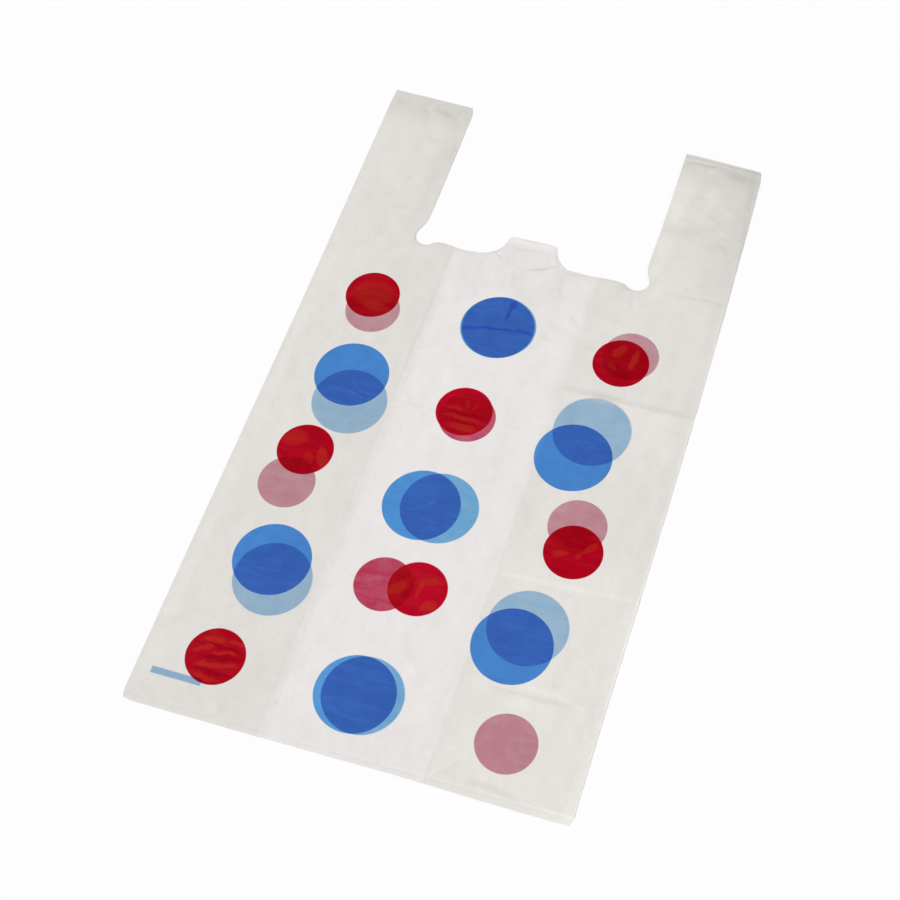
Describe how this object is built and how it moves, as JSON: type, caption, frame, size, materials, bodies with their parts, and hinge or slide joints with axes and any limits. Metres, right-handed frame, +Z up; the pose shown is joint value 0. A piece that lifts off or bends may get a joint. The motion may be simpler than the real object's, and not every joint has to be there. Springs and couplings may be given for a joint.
{
  "type": "plastic carrier bag",
  "caption": "Flat-lying vest-type carrier bag of thin milky film with side gussets, two loop handles, a die-cut mouth and a bottom weld.",
  "frame": {"origin": "centre of the flat bag's outline, on the surface it lies on", "axes": "+X across the bag to its right handle, +Y from the bottom weld to the handles, +Z up out of the front panel"},
  "size_m": [0.3, 0.5448, 0.0028],
  "materials": {
    "film": "milky translucent film with a soft sheen and printed red and blue dots"
  },
  "bodies": {
    "root": {"carrier_bag": "film"}
  },
  "joints": []
}
